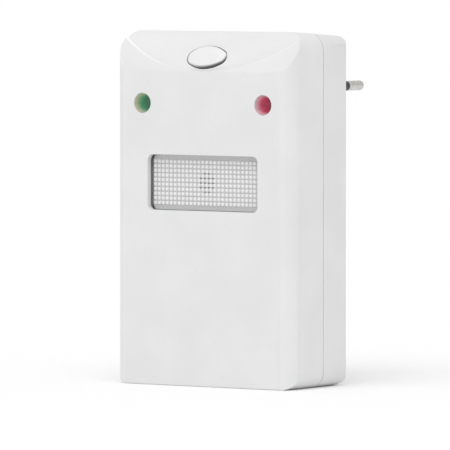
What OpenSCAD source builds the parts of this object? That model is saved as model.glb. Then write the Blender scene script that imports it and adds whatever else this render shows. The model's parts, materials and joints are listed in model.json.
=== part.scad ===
// Plug-in ultrasonic pest repeller: a two-shell housing with a night-light window, two
// indicator lamps and a push button, carried by a two-pin plug on its back.
// The origin is the middle of the flat base. +Z is up and the front faces -Y.

/* [Housing] */
// Width of the housing
body_w = 85; // [80:0.5:92]
// Depth of the housing, front face to back face
body_d = 40.5; // [40:0.5:44]
// Height of the housing
body_h = 140; // [138:0.5:146]
// Fall of the top face from the sloping panel to the back
top_fall = 2.2; // [0:0.1:2.6]
// Wall thickness of both shells
wall = 2.2; // [1.8:0.1:2.6]
// Radius of the upright front edges
front_edge_r = 7; // [5:0.5:9]
// Radius of the upright rear edges
rear_edge_r = 3; // [2.8:0.1:4]
// Radius of the two top corners seen from the front
face_corner_r = 8; // [6:0.5:9]
// Radius of the two bottom corners seen from the front
base_corner_r = 6; // [3:0.5:8]
// Radius of the top and bottom rear edges
back_edge_r = 4.5; // [3.5:0.5:5]
// Radius of the edge between the top face and the sloping panel
top_edge_r = 3; // [2.8:0.1:4]
// Radius of the front edge of the base
base_edge_r = 0.6; // [0.5:0.1:1.5]
// Distance of the seam behind the front face
seam_from_front = 22; // [21:0.5:24]
// Gap of the seam between the shells
seam_gap = 0.3; // [0.2:0.05:0.5]

/* [Sloping panel] */
// Height of the panel's lower edge above the base
slope_z = 124; // [122:0.5:126]
// Lean of the panel's middle, from upright
slope_angle = 31; // [29:0.5:33]
// Lean of the two cheeks outside the curved crease, from upright
cheek_angle = 28; // [26:0.5:28.5]
// Half the span of the curved crease at its upper ends
crease_half_span = 41; // [38:0.5:42]
// Height of the crease's upper ends along the panel
crease_rise = 15.8; // [14:0.1:17]
// Lean of the crease's wall, from square to the panel
crease_flare = 55; // [30:5:60]

/* [Push button] */
// Length of the oval button
button_l = 18.2; // [16:0.2:20]
// Width of the oval button
button_w = 10; // [9:0.2:10.4]
// End radius of the oval
button_end_r = 3.2; // [2.8:0.1:4]
// Height of the button above the panel at rest
button_proud = 1.3; // [1:0.1:1.6]
// Travel of the button
button_travel = 1.5; // [1:0.1:1.6]
// Gap round the button
button_gap = 0.3; // [0.25:0.05:0.4]

/* [Indicator lamps] */
// Diameter of the two indicator holes
indicator_d = 8; // [7:0.1:9]
// Distance of each hole from the centre line
indicator_x = 28.5; // [27:0.5:30]
// Height of the holes above the base
indicator_z = 111.4; // [110:0.2:113]

/* [Night-light window] */
// Width of the window opening
window_w = 52; // [48:0.5:53]
// Height of the window opening
window_h = 22; // [20:0.5:23]
// Height of the window's centre above the base
window_z = 80.2; // [78:0.2:82]
// Corner radius of the window opening
window_corner_r = 2.4; // [1:0.1:3]
// Depth of the lens below the front face
lens_recess = 3.4; // [3:0.1:3.6]

/* [Plug] */
// Height of the plug pins above the base
plug_z = 116.6; // [115:0.2:117]
// Distance between the plug pins
pin_spacing = 19; // [19:0.1:19]
// Diameter of the plug pins
pin_d = 4; // [4:0.1:4]
// Length of the plug pins beyond the plug face
pin_l = 19; // [19:0.1:19]
// Bare metal at the end of each pin, rounded tip included
pin_bare_l = 11.7; // [9:0.1:12]
// Depth of the raised pad on the back that carries the plug
pad_depth = 12; // [10:0.5:14]
// Length of the round plug tower beyond the pad
tower_l = 30; // [24:0.5:33]
// Radius of the plug tower at the pad
tower_root_r = 16; // [15.5:0.25:16]
// Radius of the plug tower at the plug face
tower_tip_r = 13.25; // [13:0.25:15]

/* [Hidden] */
$fn = 64;

eps = 0.01;
over = 1;
far = 200;
thin_fn = 24;
small_fn = 32;
large_fn = 128;

front_y = -body_d / 2;
back_y = body_d / 2;
seam_y = front_y + seam_from_front;
inner_back_y = back_y - wall;
least_r = 0.4;

lip_t = 1;
lip_l = 3;
lip_gap = 0.15;
lip_boss_gap = 0.4;

slope_edge_r = 0.8;
slope_cut = 8;
crease_v = 0.2;
crease_h = 6;
crease_l = 22;

button_v = 6.6;
button_dome_r = 40;
flange_t = 1;
flange_lap = 0.7;
flange_w = -wall - 0.3;
plunger_r = 1.5;
plunger_gap = 0.05;
plunger_socket = 0.6;
plunger_l = 6.6;
switch_side = 8.5;
switch_h = 5.5;
switch_floor = 0.6;
button_stop_gap = 1.5;
switch_top_w = flange_w - flange_t - button_travel - button_stop_gap;
switch_post_x = 14;
switch_post_r = 2.2;
switch_pilot_r = 0.9;
switch_pilot_l = 5;
switch_board_size = [34, 12, 1.6];
switch_board_w = switch_top_w - switch_h - switch_board_size[2];

collar_t = 1.4;
indicator_collar_l = 7.2;
indicator_lens_gap = 0.1;
indicator_rim = [1.2, 1];
indicator_lamp_y = -4.6;
lens_crown = 3.2;
lens_dome_r = 10;
window_collar_l = 4.2;
window_undercut = 1.2;
opening_cut_l = 8;
lens_gap = 0.2;
lens_side_gap = 0.5;
lens_flange = 2.5;
lens_flange_t = 1.2;

lamp_r = 2.5;
lamp_l = 4.6;
lamp_rim = [0.4, 1];
lamp_lead_r = 0.3;
lamp_lead_x = 1.27;
night_lamp_xs = [-19, 19];
night_lamp_zs = [-5, 5];
night_lamp_gap = 0.7;
sensor_r = 3.6;
sensor_l = 5.2;
sensor_dome_r = 5;
sensor_gap = 0.3;
reflector_l = 8;
reflector_t = 1.2;
reflector_bar = [68, 2, 7];
reflector_bar_r = 3;
reflector_post_x = 31.5;
reflector_hole_r = 1.3;
reflector_pilot_l = 4.4;
link_half = [8, 1.2];

board_t = 1.6;
lens_back_y = front_y + window_collar_l + lens_flange_t;
reflector_back_y = lens_back_y + reflector_l;
light_board_back_y = reflector_back_y + board_t;
board_front_y = -2.6;
board_back_y = board_front_y + board_t;
board_half_w = 31.5;
board_z0 = 20;
board_z1 = 117;
post_xs = [-28, 28];
post_zs = [26, 100];
post_r = 2.6;
post_pilot_r = 1;
post_pilot_l = 9;
board_hole_r = 1.3;

case_screw_x = 36.2;
case_screw_zs = [12, 127];
boss_r = 3.3;
rear_boss_r = 4.2;
case_pilot_r = 1.2;
case_pilot_y = -8;
case_hole_r = 1.5;
screw_recess_r = 3;
screw_seat_y = 16;

// Screws: head radius, head height, shank radius, shank length
case_screw = [2.6, 2, 1.15, 22];
switch_screw = [1.8, 1.2, 0.85, 5.5];
reflector_screw = [2, 1.4, 0.95, 5.5];
board_screw = [2.1, 1.5, 0.95, 8.5];
slot_reach = 0.6;
slot_half_w = 0.3;
slot_depth = 0.8;

label_size = [50, 0.2, 30];
label_r = 2;
label_z = 48;

transformer_at = [-15, board_back_y + 8, 48];
core_size = [24, 8, 20];
core_window = [5.5, 13];
core_window_x = 6.25;
bobbin_tube = [8.8, 9.8, 12.8];
bobbin_bore = [7.2, 8.2, 14];
bobbin_cheek = [17.6, 14, 0.8];
bobbin_cheek_z = 6;
winding_size = [17.2, 13.6, 11];
winding_bore = [9, 10, 12];
lead_r = 0.4;

slot_l = 22;
slot_w = 2;
front_slot_ys = [-13, -9, -5];
rear_slot_ys = [5, 9];
transducer_y = -2;
transducer_r = 14;
transducer_h = 12;
transducer_wall = 1.5;
transducer_top = 1.2;
transducer_wire_at = [3, 4];
gasket_h = 1.5;
gasket_w = 1.8;
transducer_z = wall + gasket_h;
cone_lift = 1;
disc_lift = 6.7;
disc_t = 0.3;
cradle_h = 6;
cradle_gap = 0.2;
cradle_t = 1.2;

pad_w = 60;
pad_h = 37;
pad_r = 8;
pad_edge_r = 3;
pad_back_y = back_y + pad_depth;
pad_inner_y = pad_back_y - wall;
plug_face_y = pad_back_y + tower_l;
tower_wall = 2.4;
tower_end_t = 17;
tower_gap = 0.2;
tower_end_r = tower_tip_r + (tower_root_r - tower_tip_r) * tower_end_t / tower_l;
plug_flange = [48, 2, 31];
pin_xs = [-pin_spacing / 2, pin_spacing / 2];
pin_core_r = 1.5;
pin_core_gap = 0.05;
pin_head_r = 2.6;
pin_head_t = 1.6;
pin_tail_l = 2.4;
pin_head_y = plug_face_y - tower_end_t - pin_head_t;
sleeve_r = 1.8;
sleeve_bore_gap = 0.01;
sleeve_hold = 2;
terminal_r = 2.4;
terminal_t = 1;
terminal_tab = [1.2, 6];
terminal_bore_gap = 0.02;
mains_wire_r = 0.9;
bend_swell = 1.06;

// ---- Outlines with true arcs ----

function unit(v) = v / norm(v);
function wrap(pts, i) = pts[(i + len(pts)) % len(pts)];
function to_prev(pts, i) = unit(wrap(pts, i - 1) - pts[i]);
function to_next(pts, i) = unit(wrap(pts, i + 1) - pts[i]);
function half_angle(pts, i) = acos(to_prev(pts, i) * to_next(pts, i)) / 2;
function arc_centre(pts, i, r) =
    pts[i] + unit(to_prev(pts, i) + to_next(pts, i)) * r / sin(half_angle(pts, i));
function tangents(pts, i, r) =
    let (t = r / tan(half_angle(pts, i)))
    [pts[i] + to_prev(pts, i) * t, pts[i] + to_next(pts, i) * t];

// A convex outline whose corner i has the radius radii[i]
module rounded_outline(pts, radii) {
    polygon([for (i = [0 : len(pts) - 1]) each tangents(pts, i, radii[i])]);
    for (i = [0 : len(pts) - 1])
        translate(arc_centre(pts, i, radii[i])) circle(radii[i]);
}

function box_points(x0, x1, y0, y1) = [[x0, y0], [x1, y0], [x1, y1], [x0, y1]];

module rounded_rect(w, h, r) {
    rounded_outline(box_points(-w / 2, w / 2, -h / 2, h / 2), [r, r, r, r]);
}

// Extrudes an X-Z outline from y0 to y1
module along_y(y0, y1) {
    translate([0, y1, 0]) rotate([90, 0, 0]) linear_extrude(y1 - y0) children();
}

// Extrudes a Y-Z outline across the width
module across_x(w) {
    translate([-w / 2, 0, 0]) rotate([90, 0, 90]) linear_extrude(w) children();
}

module rod_y(x, z, r, y0, y1) {
    translate([x, y1, z]) rotate([90, 0, 0]) cylinder(r = r, h = y1 - y0);
}

module plate(w, h, t) {
    translate([-w / 2, -h / 2, 0]) cube([w, h, t]);
}

module block(x0, x1, y0, y1, z0, z1) {
    translate([x0, y0, z0]) cube([x1 - x0, y1 - y0, z1 - z0]);
}

// A straight wire between two points
module wire_run(a, b, r) {
    run = b - a;
    translate(a)
        rotate([0, acos(run[2] / norm(run)), atan2(run[1], run[0])])
            cylinder(r = r, h = norm(run), $fn = thin_fn);
}

module wire(route, r) {
    for (i = [0 : len(route) - 2]) wire_run(route[i], route[i + 1], r);
    for (i = [1 : len(route) - 2]) translate(route[i]) sphere(r * bend_swell, $fn = thin_fn);
}

// The frame of the sloping panel: x across, y up the panel, z out of it
module on_slope(angle) {
    translate([0, front_y, slope_z]) rotate([90 - angle, 0, 0]) children();
}

// ---- Housing ----

function slope_foot(d, angle) = slope_z - d * tan(angle / 2);
function slope_head_y(d, angle) =
    front_y + d + (body_h - d - slope_foot(d, angle)) * tan(angle);

// The radius of an edge once its faces move inwards by d
function inset_r(r, d) = max(r - d, least_r);

// The housing's outer form, moved inwards by d
module housing_form(d, angle) {
    r_face = inset_r(face_corner_r, d);
    r_foot = inset_r(base_corner_r, d);
    r_front = inset_r(front_edge_r, d);
    r_rear = inset_r(rear_edge_r, d);
    r_back = inset_r(back_edge_r, d);
    r_top = inset_r(top_edge_r, d);
    r_base = inset_r(base_edge_r, d);
    half_w = body_w / 2 - d;
    intersection() {
        along_y(front_y - over, back_y + over)
            rounded_outline(box_points(-half_w, half_w, d, body_h - d),
                            [r_foot, r_foot, r_face, r_face]);
        linear_extrude(body_h + over)
            rounded_outline(box_points(-half_w, half_w, front_y + d, back_y - d),
                            [r_front, r_front, r_rear, r_rear]);
        across_x(body_w + over)
            rounded_outline([[front_y + d, d], [back_y - d, d], [back_y - d, body_h - top_fall - d],
                             [slope_head_y(d, angle), body_h - d],
                             [front_y + d, slope_foot(d, angle)]],
                            [r_base, r_back, r_back, r_top, slope_edge_r]);
    }
}

// The part of space above the panel's middle, inside the curved crease
module crease_recess() {
    rise = crease_rise - crease_v;
    r = (pow(crease_half_span, 2) + pow(rise, 2)) / (2 * rise);
    on_slope(slope_angle)
        intersection() {
            translate([0, crease_v + r, 0])
                cylinder(r1 = r, r2 = r + slope_cut * tan(crease_flare), h = slope_cut, $fn = large_fn);
            translate([-body_w, 0, 0]) cube([2 * body_w, crease_l, crease_h]);
        }
}

function oval_side_r(a, b, r) = (pow(a - r, 2) + b * b - r * r) / (2 * (b - r));

// A four-arc oval with half-axes a and b and end radius r
module oval(a, b, r) {
    side_r = oval_side_r(a, b, r);
    lean = atan2(side_r - b, a - r);
    join_x = a - r + r * cos(lean);
    intersection() {
        translate([0, side_r - b]) circle(side_r, $fn = large_fn);
        translate([0, b - side_r]) circle(side_r, $fn = large_fn);
        square([2 * join_x, 2 * b + over], center = true);
    }
    for (side = [-1, 1]) translate([side * (a - r), 0]) circle(r);
}

module button_oval(grow) {
    oval(button_l / 2 + grow, button_w / 2 + grow, button_end_r + grow);
}

module at_button() {
    on_slope(slope_angle) translate([0, button_v, 0]) children();
}

module sound_slots(ys) {
    for (y = ys) block(-slot_l / 2, slot_l / 2, y - slot_w / 2, y + slot_w / 2, -over, wall + over);
}

// The low ring on the floor of the case that centres the transducer
module transducer_cradle() {
    translate([0, transducer_y, wall - eps])
        difference() {
            cylinder(r = transducer_r + cradle_gap + cradle_t, h = cradle_h);
            translate([0, 0, -over]) cylinder(r = transducer_r + cradle_gap, h = cradle_h + 2 * over);
        }
}

module front_half() {
    block(-far, far, -far, seam_y - seam_gap / 2, -far, far);
}

module rear_half() {
    block(-far, far, seam_y + seam_gap / 2, far, -far, far);
}

module shell_collars() {
    for (side = [-1, 1])
        rod_y(side * indicator_x, indicator_z, indicator_d / 2 + collar_t,
              front_y + wall / 2, front_y + indicator_collar_l);
    translate([0, 0, window_z])
        along_y(front_y + wall / 2, front_y + window_collar_l)
            rounded_rect(window_w + 2 * window_undercut + 2 * collar_t, window_h + 2 * collar_t,
                         window_corner_r);
}

module shell_posts() {
    for (x = post_xs, z = post_zs) rod_y(x, z, post_r, front_y + wall / 2, board_front_y);
    for (side = [-1, 1], z = case_screw_zs)
        rod_y(side * case_screw_x, z, boss_r, front_y + wall / 2, seam_y - seam_gap / 2);
    for (side = [-1, 1])
        rod_y(side * reflector_post_x, window_z, post_r, front_y + wall / 2, lens_back_y);
    at_button()
        for (side = [-1, 1])
            translate([side * switch_post_x, 0, switch_top_w - switch_h])
                cylinder(r = switch_post_r, h = -switch_top_w + switch_h - wall / 2);
}

module shell_pilots() {
    for (x = post_xs, z = post_zs)
        rod_y(x, z, post_pilot_r, board_front_y - post_pilot_l, board_front_y + over);
    for (side = [-1, 1], z = case_screw_zs)
        rod_y(side * case_screw_x, z, case_pilot_r, case_pilot_y, seam_y + over);
    for (side = [-1, 1])
        rod_y(side * reflector_post_x, window_z, post_pilot_r,
              lens_back_y - reflector_pilot_l, lens_back_y + over);
    at_button()
        for (side = [-1, 1])
            translate([side * switch_post_x, 0, switch_top_w - switch_h - over])
                cylinder(r = switch_pilot_r, h = switch_pilot_l + over);
}

module front_shell() {
    color("white")
        difference() {
            union() {
                intersection() {
                    difference() {
                        housing_form(0, cheek_angle);
                        housing_form(wall, slope_angle);
                    }
                    front_half();
                }
                intersection() {
                    union() {
                        shell_collars();
                        shell_posts();
                    }
                    housing_form(wall / 2, slope_angle);
                    front_half();
                }
                intersection() {
                    transducer_cradle();
                    front_half();
                }
            }
            crease_recess();
            shell_pilots();
            for (side = [-1, 1])
                rod_y(side * indicator_x, indicator_z, indicator_d / 2,
                      front_y - over, front_y + opening_cut_l);
            translate([0, 0, window_z]) {
                along_y(front_y - over, front_y + wall + over)
                    rounded_rect(window_w, window_h, window_corner_r);
                along_y(front_y + wall, front_y + opening_cut_l)
                    rounded_rect(window_w + 2 * window_undercut, window_h, window_corner_r);
            }
            at_button()
                translate([0, 0, -wall - over]) linear_extrude(slope_cut) button_oval(button_gap);
            sound_slots(front_slot_ys);
        }
}

// The raised pad on the back, moved inwards by d
module pad_form(d) {
    edge = pad_edge_r - d;
    translate([0, 0, plug_z])
        intersection() {
            along_y(back_y - wall - over, pad_back_y - d)
                rounded_rect(pad_w - 2 * d, pad_h - 2 * d, pad_r - d);
            linear_extrude(pad_h + over, center = true)
                rounded_outline(box_points(-pad_w / 2 + d, pad_w / 2 - d, 0, pad_back_y - d),
                                [edge, edge, edge, edge]);
            across_x(pad_w + over)
                rounded_outline(box_points(0, pad_back_y - d, -pad_h / 2 + d, pad_h / 2 - d),
                                [edge, edge, edge, edge]);
        }
}

module back_cover() {
    color("gainsboro")
        difference() {
            union() {
                intersection() {
                    difference() {
                        housing_form(0, cheek_angle);
                        housing_form(wall, slope_angle);
                    }
                    rear_half();
                }
                intersection() {
                    difference() {
                        housing_form(wall + lip_gap, slope_angle);
                        housing_form(wall + lip_gap + lip_t, slope_angle);
                    }
                    block(-far, far, seam_y - lip_l, seam_y + over, -far, far);
                    rear_lip_gaps();
                }
                intersection() {
                    difference() {
                        housing_form(wall - eps, slope_angle);
                        housing_form(wall + lip_gap + lip_t, slope_angle);
                    }
                    block(-far, far, seam_y + seam_gap / 2, seam_y + over, -far, far);
                    rear_lip_gaps();
                }
                intersection() {
                    union() {
                        for (side = [-1, 1], z = case_screw_zs)
                            rod_y(side * case_screw_x, z, rear_boss_r, seam_y + seam_gap / 2, back_y);
                    }
                    housing_form(wall / 2, slope_angle);
                }
                intersection() {
                    pad_form(0);
                    block(-far, far, inner_back_y, far, -far, far);
                }
                intersection() {
                    transducer_cradle();
                    rear_half();
                }
            }
            pad_form(wall);
            rod_y(0, plug_z, tower_root_r + tower_gap, pad_inner_y - over, pad_back_y + over);
            for (side = [-1, 1], z = case_screw_zs) {
                rod_y(side * case_screw_x, z, case_hole_r, seam_y - over, back_y + over);
                rod_y(side * case_screw_x, z, screw_recess_r, screw_seat_y, back_y + over);
            }
            sound_slots(rear_slot_ys);
        }
}

// Room in the back cover's lip for the bosses and the transducer cradle
module rear_lip_gaps() {
    difference() {
        block(-far, far, -far, far, -far, far);
        for (side = [-1, 1], z = case_screw_zs)
            rod_y(side * case_screw_x, z, boss_r + lip_boss_gap, seam_y - 2 * lip_l, seam_y + 2 * over);
        translate([0, transducer_y, 0])
            cylinder(r = transducer_r + cradle_t + lip_boss_gap, h = cradle_h + wall + over);
    }
}

// A pan-head screw with a cross slot, its head on the plane z = 0
module pan_screw(sizes) {
    head_r = sizes[0];
    head_h = sizes[1];
    shank_r = sizes[2];
    shank_l = sizes[3];
    reach = head_r * slot_reach;
    difference() {
        cylinder(r = head_r, h = head_h, $fn = small_fn);
        for (turn = [0, 90])
            rotate(turn)
                translate([-reach, -slot_half_w, head_h - slot_depth])
                    cube([2 * reach, 2 * slot_half_w, slot_depth + over]);
    }
    translate([0, 0, -shank_l]) cylinder(r = shank_r, h = shank_l + eps, $fn = small_fn);
}

module screw_from_back(x, y, z, sizes) {
    translate([x, y, z]) rotate([-90, 0, 0]) pan_screw(sizes);
}

module case_screws() {
    color("silver")
        for (side = [-1, 1], z = case_screw_zs)
            screw_from_back(side * case_screw_x, screw_seat_y, z, case_screw);
}

module rating_label() {
    color("whitesmoke")
        translate([0, 0, label_z])
            along_y(back_y, back_y + label_size[1]) rounded_rect(label_size[0], label_size[2], label_r);
}

// ---- Push button and its switch ----

module button_cap() {
    color("white")
        at_button()
            difference() {
                union() {
                    intersection() {
                        translate([0, 0, flange_w]) linear_extrude(slope_cut) button_oval(0);
                        translate([0, 0, button_proud - button_dome_r])
                            sphere(button_dome_r, $fn = large_fn);
                    }
                    translate([0, 0, flange_w - flange_t]) linear_extrude(flange_t)
                        button_oval(flange_lap);
                }
                translate([0, 0, flange_w - flange_t - over])
                    cylinder(r = plunger_r + plunger_gap, h = plunger_socket + over);
            }
}

module switch_plunger() {
    color("dimgray")
        at_button()
            translate([0, 0, flange_w - flange_t + plunger_socket - plunger_l])
                cylinder(r = plunger_r, h = plunger_l);
}

module switch_body() {
    color("black")
        at_button()
            translate([0, 0, switch_top_w - switch_h])
                difference() {
                    plate(switch_side, switch_side, switch_h);
                    translate([0, 0, switch_floor]) cylinder(r = plunger_r + plunger_gap, h = switch_h);
                }
}

module switch_board() {
    color("seagreen")
        at_button()
            translate([0, 0, switch_board_w])
                difference() {
                    plate(switch_board_size[0], switch_board_size[1], switch_board_size[2]);
                    for (side = [-1, 1])
                        translate([side * switch_post_x, 0, -over])
                            cylinder(r = switch_pilot_r + 2 * lens_gap, h = switch_board_size[2] + 2 * over);
                }
}

module switch_screws() {
    color("silver")
        at_button()
            for (side = [-1, 1])
                translate([side * switch_post_x, 0, switch_board_w])
                    rotate([180, 0, 0]) pan_screw(switch_screw);
}

// ---- Indicator lamps ----

module indicator_lens(x, tint) {
    body_r = indicator_d / 2 - indicator_lens_gap;
    color(tint)
        translate([x, front_y + indicator_collar_l, indicator_z])
            rotate([90, 0, 0]) {
                translate([0, 0, -indicator_rim[1]])
                    cylinder(r = body_r + indicator_rim[0], h = indicator_rim[1]);
                intersection() {
                    translate([0, 0, lens_crown - lens_dome_r]) sphere(lens_dome_r);
                    translate([0, 0, -eps]) cylinder(r = body_r, h = lens_crown + over);
                }
            }
}

module green_lens() {
    indicator_lens(-indicator_x, "mediumseagreen");
}

module red_lens() {
    indicator_lens(indicator_x, "indianred");
}

module lamp(x, z, base_y, tint) {
    color(tint)
        translate([x, base_y, z])
            rotate([90, 0, 0]) {
                cylinder(r = lamp_r + lamp_rim[0], h = lamp_rim[1], $fn = small_fn);
                cylinder(r = lamp_r, h = lamp_l, $fn = small_fn);
                translate([0, 0, lamp_l]) sphere(lamp_r, $fn = small_fn);
            }
}

module lamp_leads(x, z, y0, y1) {
    for (side = [-1, 1]) rod_y(x + side * lamp_lead_x, z, lamp_lead_r, y0, y1, $fn = thin_fn);
}

module indicator_lamp(x, tint) {
    lamp(x, indicator_z, indicator_lamp_y, tint);
    color(tint) lamp_leads(x, indicator_z, indicator_lamp_y - eps, board_front_y);
}

module green_led() {
    indicator_lamp(-indicator_x, "green");
}

module red_led() {
    indicator_lamp(indicator_x, "red");
}

// ---- Night light ----

module window_lens() {
    rim_y = front_y + window_collar_l;
    lens_w = window_w - 2 * lens_side_gap;
    color("lightgray", 0.7)
        translate([0, 0, window_z]) {
            along_y(front_y + lens_recess, rim_y)
                rounded_rect(lens_w, window_h - 2 * lens_gap, window_corner_r);
            along_y(rim_y, lens_back_y)
                rounded_rect(lens_w, window_h + 2 * lens_flange, window_corner_r);
        }
}

module light_reflector() {
    outer_w = window_w + 2 * lens_flange;
    outer_h = window_h + 2 * lens_flange;
    color("white")
        translate([0, 0, window_z])
            difference() {
                union() {
                    along_y(lens_back_y, reflector_back_y)
                        rounded_rect(outer_w, outer_h, window_corner_r);
                    along_y(lens_back_y, lens_back_y + reflector_bar[1])
                        rounded_rect(reflector_bar[0], reflector_bar[2], reflector_bar_r);
                }
                along_y(lens_back_y - over, reflector_back_y - reflector_t)
                    rounded_rect(outer_w - 2 * reflector_t, outer_h - 2 * reflector_t,
                                 window_corner_r - lens_gap);
                for (x = night_lamp_xs, z = night_lamp_zs)
                    rod_y(x, z, lamp_r + night_lamp_gap, lens_back_y, reflector_back_y + over);
                rod_y(0, 0, sensor_r + sensor_gap, lens_back_y, reflector_back_y + over);
                for (side = [-1, 1])
                    rod_y(side * reflector_post_x, 0, reflector_hole_r,
                          lens_back_y - over, lens_back_y + reflector_bar[1] + over);
            }
}

module reflector_screws() {
    color("silver")
        for (side = [-1, 1])
            screw_from_back(side * reflector_post_x, lens_back_y + reflector_bar[1], window_z,
                            reflector_screw);
}

module night_light_leds() {
    for (x = night_lamp_xs, z = night_lamp_zs) lamp(x, window_z + z, reflector_back_y, "ivory");
}

module light_sensor() {
    color("dimgray") {
        rod_y(0, window_z, sensor_r, reflector_back_y - sensor_l, reflector_back_y);
        translate([0, reflector_back_y - sensor_l, window_z])
            intersection() {
                translate([0, sensor_dome_r / 2, 0]) sphere(sensor_dome_r);
                rod_y(0, 0, sensor_r, -sensor_dome_r, eps);
            }
    }
}

module light_board() {
    color("seagreen")
        translate([0, 0, window_z])
            along_y(reflector_back_y, light_board_back_y)
                rounded_rect(window_w + 2 * lens_flange, window_h + 2 * lens_flange, window_corner_r);
}

module board_link() {
    color("black")
        block(-link_half[0], link_half[0], light_board_back_y, board_front_y,
              window_z - link_half[1], window_z + link_half[1]);
}

// ---- Main circuit board ----

module circuit_board() {
    color("seagreen")
        difference() {
            block(-board_half_w, board_half_w, board_front_y, board_back_y, board_z0, board_z1);
            for (x = post_xs, z = post_zs)
                rod_y(x, z, board_hole_r, board_front_y - over, board_back_y + over);
        }
}

module board_screws() {
    color("silver")
        for (x = post_xs, z = post_zs)
            screw_from_back(x, board_back_y, z, board_screw);
}

module transformer_core() {
    color("dimgray")
        translate(transformer_at)
            difference() {
                cube(core_size, center = true);
                for (side = [-1, 1])
                    translate([side * core_window_x, 0, 0])
                        cube([core_window[0], core_size[1] + 2 * over, core_window[1]], center = true);
            }
}

module transformer_bobbin() {
    color("ivory")
        translate(transformer_at) {
            difference() {
                union() {
                    cube(bobbin_tube, center = true);
                    for (side = [-1, 1])
                        translate([0, 0, side * bobbin_cheek_z]) cube(bobbin_cheek, center = true);
                }
                cube(bobbin_bore, center = true);
            }
            for (x = [-7, 7], z = [-bobbin_cheek_z, bobbin_cheek_z])
                rod_y(x, z, bobbin_cheek[2] / 2 - eps, board_back_y - transformer_at[1],
                      eps - bobbin_cheek[1] / 2, $fn = thin_fn);
        }
}

module transformer_winding() {
    color("chocolate")
        translate(transformer_at)
            difference() {
                cube(winding_size, center = true);
                cube(winding_bore, center = true);
            }
}

module mains_capacitor() {
    standoff = 0.5;
    z = 88.5;
    half_h = 4.5;
    color("goldenrod") {
        block(4, 22, board_back_y + standoff, board_back_y + 12, z - half_h, z + half_h);
        for (x = [6, 20]) rod_y(x, z, lead_r, board_back_y, board_back_y + standoff + 0.1, $fn = thin_fn);
    }
}

module smoothing_capacitor() {
    at = [20, board_back_y, 66];
    can_r = 5;
    can_l = 15;
    vent = [7, 0.4, 0.4];
    color("midnightblue")
        difference() {
            rod_y(at[0], at[2], can_r, at[1], at[1] + can_l);
            for (turn = [0, 90])
                translate([at[0], at[1] + can_l, at[2]]) rotate([0, turn, 0]) cube(vent, center = true);
        }
}

// An axial part standing off the board, with its two bent leads
module axial_part(x, z, r, body_l, lead_l) {
    wire_r = 0.3;
    standoff = 0.6;
    y = board_back_y + r + standoff;
    translate([x, y, z - body_l / 2]) cylinder(r = r, h = body_l, $fn = small_fn);
    translate([x, y, z - lead_l / 2]) cylinder(r = wire_r, h = lead_l, $fn = thin_fn);
    for (end = [-1, 1])
        rod_y(x, z + end * (lead_l / 2 - wire_r), wire_r, board_back_y, y, $fn = thin_fn);
}

module rectifier_diodes() {
    color("black")
        for (x = [-24 : 5 : -9]) axial_part(x, 92, 1.3, 5, 9);
}

module resistors() {
    color("tan")
        for (x = [6 : 4 : 22]) axial_part(x, 30, 1.1, 6, 10);
}

module control_chip() {
    centre = [15.2, board_back_y, 45];
    half_w = 3.2;
    half_h = 5;
    pitch = 2.54;
    leg = [0.7, 2.2, 0.6];
    color("black") {
        block(centre[0] - half_w, centre[0] + half_w, centre[1] + 0.6, centre[1] + 3.8,
              centre[2] - half_h, centre[2] + half_h);
        for (side = [-1, 1], i = [0 : 3])
            translate(centre + [side * (half_w + 0.3), leg[1] / 2, (i - 1.5) * pitch])
                cube(leg, center = true);
    }
}

module driver_transistor() {
    x0 = -27;
    x1 = -17;
    y0 = board_back_y + 4;
    z0 = 68;
    case_h = 9;
    tab_h = 6;
    leg_y = y0 + 2;
    leg_z = z0 - 3;
    color("dimgray") {
        block(x0, x1, y0, y0 + 4.4, z0, z0 + case_h);
        block(x0, x1, y0, y0 + 1.3, z0 + case_h - eps, z0 + case_h + tab_h);
        for (x = [-24.5, -22, -19.5])
            wire([[x, leg_y, z0 + 0.5], [x, leg_y, leg_z], [x, board_back_y, leg_z]], lead_r);
    }
}

module mains_fuse() {
    at = [-18, board_back_y + 3.2, 106];
    tube_r = 2.2;
    tube_l = 12;
    cap_r = 2.6;
    cap_l = 3;
    cap_x = 5.1;
    color("lightsteelblue")
        translate(at) {
            rotate([0, 90, 0]) cylinder(r = tube_r, h = tube_l, center = true);
            for (side = [-1, 1]) {
                translate([side * cap_x, 0, 0]) rotate([0, 90, 0])
                    cylinder(r = cap_r, h = cap_l, center = true);
                rod_y(side * (cap_x + 0.3), 0, lead_r, board_back_y - at[1], 0, $fn = thin_fn);
            }
        }
}

// ---- Ultrasonic transducer ----

module transducer_gasket() {
    color("black")
        translate([0, transducer_y, wall])
            difference() {
                cylinder(r = transducer_r, h = gasket_h);
                translate([0, 0, -over]) cylinder(r = transducer_r - gasket_w, h = gasket_h + 2 * over);
            }
}

module transducer_housing() {
    color("dimgray")
        translate([0, transducer_y, transducer_z])
            difference() {
                cylinder(r = transducer_r, h = transducer_h);
                translate([0, 0, -over])
                    cylinder(r = transducer_r - transducer_wall, h = transducer_h - transducer_top + over);
                for (side = [-1, 1])
                    translate([side * transducer_wire_at[0], transducer_wire_at[1], 0])
                        cylinder(r = 0.7, h = transducer_h + over, $fn = thin_fn);
            }
}

module transducer_cone() {
    color("silver")
        translate([0, transducer_y, transducer_z + cone_lift])
            rotate_extrude()
                polygon([[12.3, 0], [12.3, 0.7], [2, 5.7], [0, 5.7], [0, 5], [1.8, 5]]);
}

module piezo_disc() {
    color("gold")
        translate([0, transducer_y, transducer_z + disc_lift]) {
            cylinder(r = 9.5, h = disc_t);
            translate([0, 0, disc_t - eps]) cylinder(r = 7, h = disc_t);
        }
}

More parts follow.
